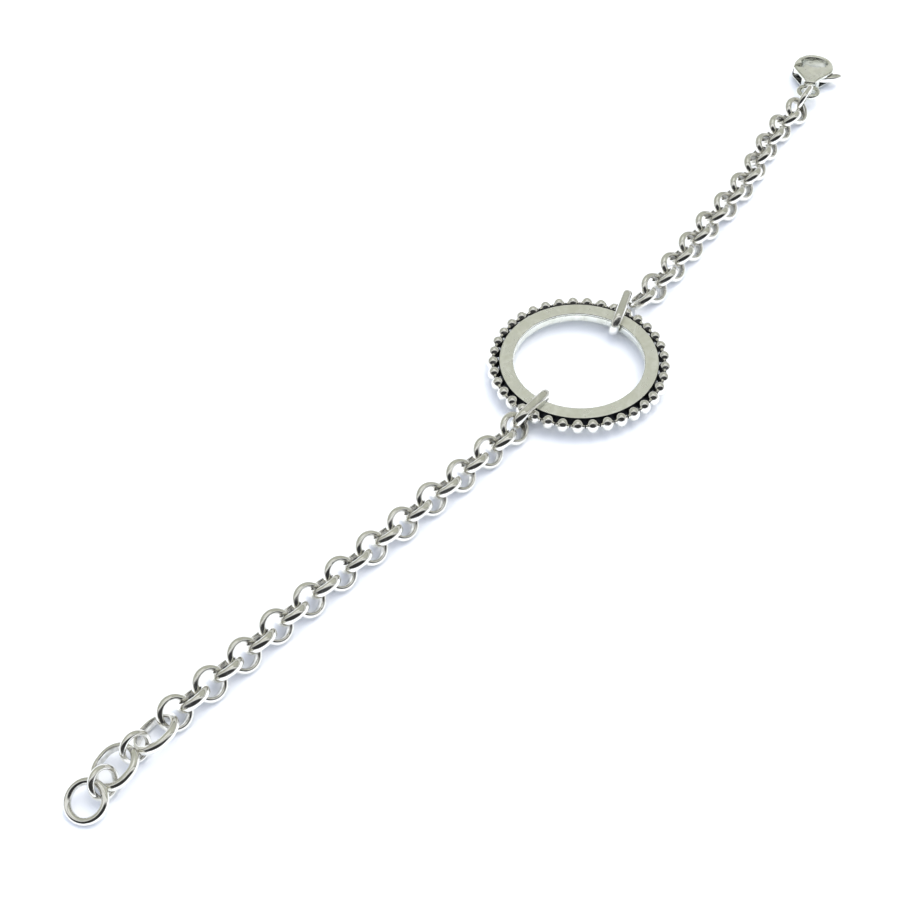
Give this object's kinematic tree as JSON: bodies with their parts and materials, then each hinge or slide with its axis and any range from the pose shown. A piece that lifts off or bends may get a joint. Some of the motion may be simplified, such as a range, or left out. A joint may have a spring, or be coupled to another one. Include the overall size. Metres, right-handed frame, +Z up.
{
  "type": "chain bracelet",
  "caption": "Belcher chain bracelet with a flat beaded centre ring, a sprung trigger clasp on one end and an extender with a round end ring on the other.",
  "frame": {"origin": "centre of the bracelet's box, on the surface it lies on", "axes": "+X along the bracelet towards the clasp, +Y across it, +Z up from the surface"},
  "size_m": [0.1968, 0.0288, 0.005],
  "materials": {
    "polished_silver": "polished sterling silver",
    "satin_silver": "satin sterling silver with fine brush lines",
    "blackened_silver": "polished beads over an oxidised, blackened ground",
    "spring_steel": "bright spring steel"
  },
  "bodies": {
    "ring": {"centre_ring": "satin_silver", "beaded_wire": "blackened_silver"},
    "left_ring_link": {"left_ring_link": "polished_silver"},
    "left_link_01": {"left_link_01": "polished_silver"},
    "left_link_02": {"left_link_02": "polished_silver"},
    "left_link_03": {"left_link_03": "polished_silver"},
    "left_link_04": {"left_link_04": "polished_silver"},
    "left_link_05": {"left_link_05": "polished_silver"},
    "left_link_06": {"left_link_06": "polished_silver"},
    "left_link_07": {"left_link_07": "polished_silver"},
    "left_link_08": {"left_link_08": "polished_silver"},
    "left_link_09": {"left_link_09": "polished_silver"},
    "left_link_10": {"left_link_10": "polished_silver"},
    "left_link_11": {"left_link_11": "polished_silver"},
    "left_link_12": {"left_link_12": "polished_silver"},
    "left_link_13": {"left_link_13": "polished_silver"},
    "left_link_14": {"left_link_14": "polished_silver"},
    "left_link_15": {"left_link_15": "polished_silver"},
    "left_link_16": {"left_link_16": "polished_silver"},
    "left_link_17": {"left_link_17": "polished_silver"},
    "left_link_18": {"left_link_18": "polished_silver"},
    "left_link_19": {"left_link_19": "polished_silver"},
    "left_link_20": {"left_link_20": "polished_silver"},
    "left_link_21": {"left_link_21": "polished_silver"},
    "left_link_22": {"left_link_22": "polished_silver"},
    "left_link_23": {"left_link_23": "polished_silver"},
    "extender_large_link_1": {"extender_large_link_1": "polished_silver"},
    "extender_small_link_1": {"extender_small_link_1": "polished_silver"},
    "extender_large_link_2": {"extender_large_link_2": "polished_silver"},
    "extender_small_link_2": {"extender_small_link_2": "polished_silver"},
    "end_ring": {"end_ring": "polished_silver"},
    "right_ring_link": {"right_ring_link": "polished_silver"},
    "right_link_01": {"right_link_01": "polished_silver"},
    "right_link_02": {"right_link_02": "polished_silver"},
    "right_link_03": {"right_link_03": "polished_silver"},
    "right_link_04": {"right_link_04": "polished_silver"},
    "right_link_05": {"right_link_05": "polished_silver"},
    "right_link_06": {"right_link_06": "polished_silver"},
    "right_link_07": {"right_link_07": "polished_silver"},
    "right_link_08": {"right_link_08": "polished_silver"},
    "right_link_09": {"right_link_09": "polished_silver"},
    "right_link_10": {"right_link_10": "polished_silver"},
    "right_link_11": {"right_link_11": "polished_silver"},
    "right_link_12": {"right_link_12": "polished_silver"},
    "right_link_13": {"right_link_13": "polished_silver"},
    "right_link_14": {"right_link_14": "polished_silver"},
    "right_link_15": {"right_link_15": "polished_silver"},
    "right_link_16": {"right_link_16": "polished_silver"},
    "right_link_17": {"right_link_17": "polished_silver"},
    "right_link_18": {"right_link_18": "polished_silver"},
    "right_link_19": {"right_link_19": "polished_silver"},
    "right_link_20": {"right_link_20": "polished_silver"},
    "jump_ring": {"jump_ring": "polished_silver"},
    "clasp_body": {"clasp_body": "satin_silver", "clasp_pin": "spring_steel", "clasp_spring": "spring_steel"},
    "clasp_trigger": {"clasp_trigger": "polished_silver"}
  },
  "joints": [
    {"name": "left_ring_link_swing", "type": "hinge", "parent": "ring", "child": "left_ring_link", "pos_m": [-0.00753, 0, 0.00211], "axis": [0.0271, 0.9394, 0.3419], "range_deg": [-3, 8]},
    {"name": "left_link_01_swing", "type": "hinge", "parent": "left_ring_link", "child": "left_link_01", "pos_m": [-0.01194, 0.00017, 0.00245], "axis": [0, -0.7071, 0.7071], "range_deg": [-36, 40]},
    {"name": "left_link_02_swing", "type": "hinge", "parent": "left_link_01", "child": "left_link_02", "pos_m": [-0.01446, 0, 0.00206], "axis": [-0.0128, -0.707, -0.7071], "range_deg": [-40, 40]},
    {"name": "left_link_03_swing", "type": "hinge", "parent": "left_link_02", "child": "left_link_03", "pos_m": [-0.01753, 0.0001, 0.00206], "axis": [0.0672, 0.7039, -0.7071], "range_deg": [-40, 40]},
    {"name": "left_link_04_swing", "type": "hinge", "parent": "left_link_03", "child": "left_link_04", "pos_m": [-0.02057, 0.00055, 0.00206], "axis": [0.0718, 0.7035, 0.7071], "range_deg": [-40, 40]},
    {"name": "left_link_05_swing", "type": "hinge", "parent": "left_link_04", "child": "left_link_05", "pos_m": [-0.02363, 0.00088, 0.00206], "axis": [-0.0315, -0.7064, 0.7071], "range_deg": [-40, 40]},
    {"name": "left_link_06_swing", "type": "hinge", "parent": "left_link_05", "child": "left_link_06", "pos_m": [-0.0267, 0.00089, 0.00206], "axis": [-0.0701, -0.7036, -0.7071], "range_deg": [-40, 40]},
    {"name": "left_link_07_swing", "type": "hinge", "parent": "left_link_06", "child": "left_link_07", "pos_m": [-0.02975, 0.00132, 0.00206], "axis": [0.0977, 0.7003, -0.7071], "range_deg": [-40, 40]},
    {"name": "left_link_08_swing", "type": "hinge", "parent": "left_link_07", "child": "left_link_08", "pos_m": [-0.03278, 0.00183, 0.00206], "axis": [0.0506, 0.7053, 0.7071], "range_deg": [-40, 40]},
    {"name": "left_link_09_swing", "type": "hinge", "parent": "left_link_08", "child": "left_link_09", "pos_m": [-0.03586, 0.0019, 0.00206], "axis": [-0.058, -0.7047, 0.7071], "range_deg": [-40, 40]},
    {"name": "left_link_10_swing", "type": "hinge", "parent": "left_link_09", "child": "left_link_10", "pos_m": [-0.03892, 0.00217, 0.00206], "axis": [-0.1048, -0.6993, -0.7071], "range_deg": [-40, 40]},
    {"name": "left_link_11_swing", "type": "hinge", "parent": "left_link_10", "child": "left_link_11", "pos_m": [-0.04194, 0.00277, 0.00206], "axis": [0.0718, 0.7035, -0.7071], "range_deg": [-40, 40]},
    {"name": "left_link_12_swing", "type": "hinge", "parent": "left_link_11", "child": "left_link_12", "pos_m": [-0.045, 0.00298, 0.00206], "axis": [0.0466, 0.7056, 0.7071], "range_deg": [-40, 40]},
    {"name": "left_link_13_swing", "type": "hinge", "parent": "left_link_12", "child": "left_link_13", "pos_m": [-0.04807, 0.00311, 0.00206], "axis": [-0.0936, -0.7009, 0.7071], "range_deg": [-40, 40]},
    {"name": "left_link_14_swing", "type": "hinge", "parent": "left_link_13", "child": "left_link_14", "pos_m": [-0.0511, 0.00366, 0.00206], "axis": [-0.0819, -0.7024, -0.7071], "range_deg": [-40, 40]},
    {"name": "left_link_15_swing", "type": "hinge", "parent": "left_link_14", "child": "left_link_15", "pos_m": [-0.05416, 0.00398, 0.00206], "axis": [0.0359, 0.7062, -0.7071], "range_deg": [-40, 40]},
    {"name": "left_link_16_swing", "type": "hinge", "parent": "left_link_15", "child": "left_link_16", "pos_m": [-0.05723, 0.00399, 0.00206], "axis": [0.071, 0.7035, 0.7071], "range_deg": [-40, 40]},
    {"name": "left_link_17_swing", "type": "hinge", "parent": "left_link_16", "child": "left_link_17", "pos_m": [-0.06028, 0.00441, 0.00206], "axis": [-0.0865, -0.7018, 0.7071], "range_deg": [-40, 40]},
    {"name": "left_link_18_swing", "type": "hinge", "parent": "left_link_17", "child": "left_link_18", "pos_m": [-0.06332, 0.00483, 0.00206], "axis": [-0.0329, -0.7063, -0.7071], "range_deg": [-40, 40]},
    {"name": "left_link_19_swing", "type": "hinge", "parent": "left_link_18", "child": "left_link_19", "pos_m": [-0.0664, 0.00481, 0.00206], "axis": [0.0422, 0.7058, -0.7071], "range_deg": [-40, 40]},
    {"name": "left_link_20_swing", "type": "hinge", "parent": "left_link_19", "child": "left_link_20", "pos_m": [-0.06946, 0.00502, 0.00206], "axis": [0.08, 0.7026, 0.7071], "range_deg": [-40, 40]},
    {"name": "left_link_21_swing", "type": "hinge", "parent": "left_link_20", "child": "left_link_21", "pos_m": [-0.0725, 0.00549, 0.00206], "axis": [-0.0468, -0.7056, 0.7071], "range_deg": [-40, 40]},
    {"name": "left_link_22_swing", "type": "hinge", "parent": "left_link_21", "child": "left_link_22", "pos_m": [-0.07558, 0.00559, 0.00206], "axis": [-0.0376, -0.7061, -0.7071], "range_deg": [-40, 40]},
    {"name": "left_link_23_swing", "type": "hinge", "parent": "left_link_22", "child": "left_link_23", "pos_m": [-0.07864, 0.00572, 0.00206], "axis": [0.0941, 0.7008, -0.7071], "range_deg": [-40, 40]},
    {"name": "extender_large_link_1_swing", "type": "hinge", "parent": "left_link_23", "child": "extender_large_link_1", "pos_m": [-0.08167, 0.0063, 0.00206], "axis": [-0.0428, 0.4835, 0.8743], "range_deg": [-30, 30]},
    {"name": "extender_small_link_1_swing", "type": "hinge", "parent": "extender_large_link_1", "child": "extender_small_link_1", "pos_m": [-0.08633, 0.00602, 0.0017], "axis": [0.0645, 0.9223, -0.3811], "range_deg": [-24, 20]},
    {"name": "extender_large_link_2_swing", "type": "hinge", "parent": "extender_small_link_1", "child": "extender_large_link_2", "pos_m": [-0.08843, 0.00646, 0.00231], "axis": [0.2087, -0.2075, -0.9557], "range_deg": [-24, 22]},
    {"name": "extender_small_link_2_swing", "type": "hinge", "parent": "extender_large_link_2", "child": "extender_small_link_2", "pos_m": [-0.09289, 0.00672, 0.00116], "axis": [0.1277, -0.8498, 0.5114], "range_deg": [-24, 24]},
    {"name": "end_ring_swing", "type": "hinge", "parent": "extender_small_link_2", "child": "end_ring", "pos_m": [-0.0945, 0.00594, 0.00251], "axis": [-0.3808, -0.0861, 0.9206], "range_deg": [-16, 18]},
    {"name": "right_ring_link_swing", "type": "hinge", "parent": "ring", "child": "right_ring_link", "pos_m": [0.01727, 0, 0.00211], "axis": [0.3215, -0.9261, -0.1976], "range_deg": [-6, 10]},
    {"name": "right_link_01_swing", "type": "hinge", "parent": "right_ring_link", "child": "right_link_01", "pos_m": [0.02194, 0.00236, 0.0025], "axis": [0, 0.7071, 0.7071], "range_deg": [-40, 40]},
    {"name": "right_link_02_swing", "type": "hinge", "parent": "right_link_01", "child": "right_link_02", "pos_m": [0.02535, 0, 0.00206], "axis": [0.0078, 0.7071, -0.7071], "range_deg": [-40, 40]},
    {"name": "right_link_03_swing", "type": "hinge", "parent": "right_link_02", "child": "right_link_03", "pos_m": [0.02842, -0.00006, 0.00206], "axis": [0.0068, -0.7071, -0.7071], "range_deg": [-40, 40]},
    {"name": "right_link_04_swing", "type": "hinge", "parent": "right_link_03", "child": "right_link_04", "pos_m": [0.03149, 0.00002, 0.00206], "axis": [0.0662, -0.704, 0.7071], "range_deg": [-40, 40]},
    {"name": "right_link_05_swing", "type": "hinge", "parent": "right_link_04", "child": "right_link_05", "pos_m": [0.03454, 0.00049, 0.00206], "axis": [-0.0467, 0.7056, 0.7071], "range_deg": [-40, 40]},
    {"name": "right_link_06_swing", "type": "hinge", "parent": "right_link_05", "child": "right_link_06", "pos_m": [0.0376, 0.00063, 0.00206], "axis": [-0.0333, 0.7063, -0.7071], "range_deg": [-40, 40]},
    {"name": "right_link_07_swing", "type": "hinge", "parent": "right_link_06", "child": "right_link_07", "pos_m": [0.04067, 0.00073, 0.00206], "axis": [0.0736, -0.7033, -0.7071], "range_deg": [-40, 40]},
    {"name": "right_link_08_swing", "type": "hinge", "parent": "right_link_07", "child": "right_link_08", "pos_m": [0.04372, 0.00118, 0.00206], "axis": [0.0594, -0.7046, 0.7071], "range_deg": [-40, 40]},
    {"name": "right_link_09_swing", "type": "hinge", "parent": "right_link_08", "child": "right_link_09", "pos_m": [0.04678, 0.00139, 0.00206], "axis": [-0.0054, 0.7071, 0.7071], "range_deg": [-40, 40]},
    {"name": "right_link_10_swing", "type": "hinge", "parent": "right_link_09", "child": "right_link_10", "pos_m": [0.04986, 0.00125, 0.00206], "axis": [-0.0318, 0.7064, -0.7071], "range_deg": [-40, 40]},
    {"name": "right_link_11_swing", "type": "hinge", "parent": "right_link_10", "child": "right_link_11", "pos_m": [0.05292, 0.00147, 0.00206], "axis": [0.0692, -0.7037, -0.7071], "range_deg": [-40, 40]},
    {"name": "right_link_12_swing", "type": "hinge", "parent": "right_link_11", "child": "right_link_12", "pos_m": [0.05597, 0.00188, 0.00206], "axis": [0.0344, -0.7063, 0.7071], "range_deg": [-40, 40]},
    {"name": "right_link_13_swing", "type": "hinge", "parent": "right_link_12", "child": "right_link_13", "pos_m": [0.05905, 0.00193, 0.00206], "axis": [-0.0586, 0.7047, 0.7071], "range_deg": [-40, 40]},
    {"name": "right_link_14_swing", "type": "hinge", "parent": "right_link_13", "child": "right_link_14", "pos_m": [0.0621, 0.00225, 0.00206], "axis": [-0.1565, 0.6896, -0.7071], "range_deg": [-40, 40]},
    {"name": "right_link_15_swing", "type": "hinge", "parent": "right_link_14", "child": "right_link_15", "pos_m": [0.06505, 0.00324, 0.00206], "axis": [0.1739, -0.6854, -0.7071], "range_deg": [-40, 40]},
    {"name": "right_link_16_swing", "type": "hinge", "parent": "right_link_15", "child": "right_link_16", "pos_m": [0.06801, 0.00404, 0.00206], "axis": [0.1073, -0.6989, 0.7071], "range_deg": [-40, 40]},
    {"name": "right_link_17_swing", "type": "hinge", "parent": "right_link_16", "child": "right_link_17", "pos_m": [0.07109, 0.0043, 0.00206], "axis": [-0.1086, 0.6987, 0.7071], "range_deg": [-40, 40]},
    {"name": "right_link_18_swing", "type": "hinge", "parent": "right_link_17", "child": "right_link_18", "pos_m": [0.07412, 0.00478, 0.00206], "axis": [-0.072, 0.7034, -0.7071], "range_deg": [-40, 40]},
    {"name": "right_link_19_swing", "type": "hinge", "parent": "right_link_18", "child": "right_link_19", "pos_m": [0.07719, 0.00498, 0.00206], "axis": [0.0066, -0.7071, -0.7071], "range_deg": [-40, 40]},
    {"name": "right_link_20_swing", "type": "hinge", "parent": "right_link_19", "child": "right_link_20", "pos_m": [0.08027, 0.00481, 0.00206], "axis": [0.0227, -0.7067, 0.7071], "range_deg": [-40, 40]},
    {"name": "jump_ring_swing", "type": "hinge", "parent": "right_link_20", "child": "jump_ring", "pos_m": [0.08334, 0.00496, 0.00206], "axis": [0.1346, -0.9579, -0.2538], "range_deg": [-38, 40]},
    {"name": "clasp_body_swing", "type": "hinge", "parent": "jump_ring", "child": "clasp_body", "pos_m": [0.08704, 0.00566, 0.0025], "axis": [-0.0711, -0.0287, -0.9971], "range_deg": [-40, 40]},
    {"name": "clasp_trigger_press", "type": "hinge", "parent": "clasp_body", "child": "clasp_trigger", "pos_m": [0.09165, 0.00828, 0.00173], "axis": [0.0711, 0.0287, 0.9971], "range_deg": [-14, 0], "stiffness_Nm_per_rad": 0.004, "springref_deg": 20.05}
  ]
}
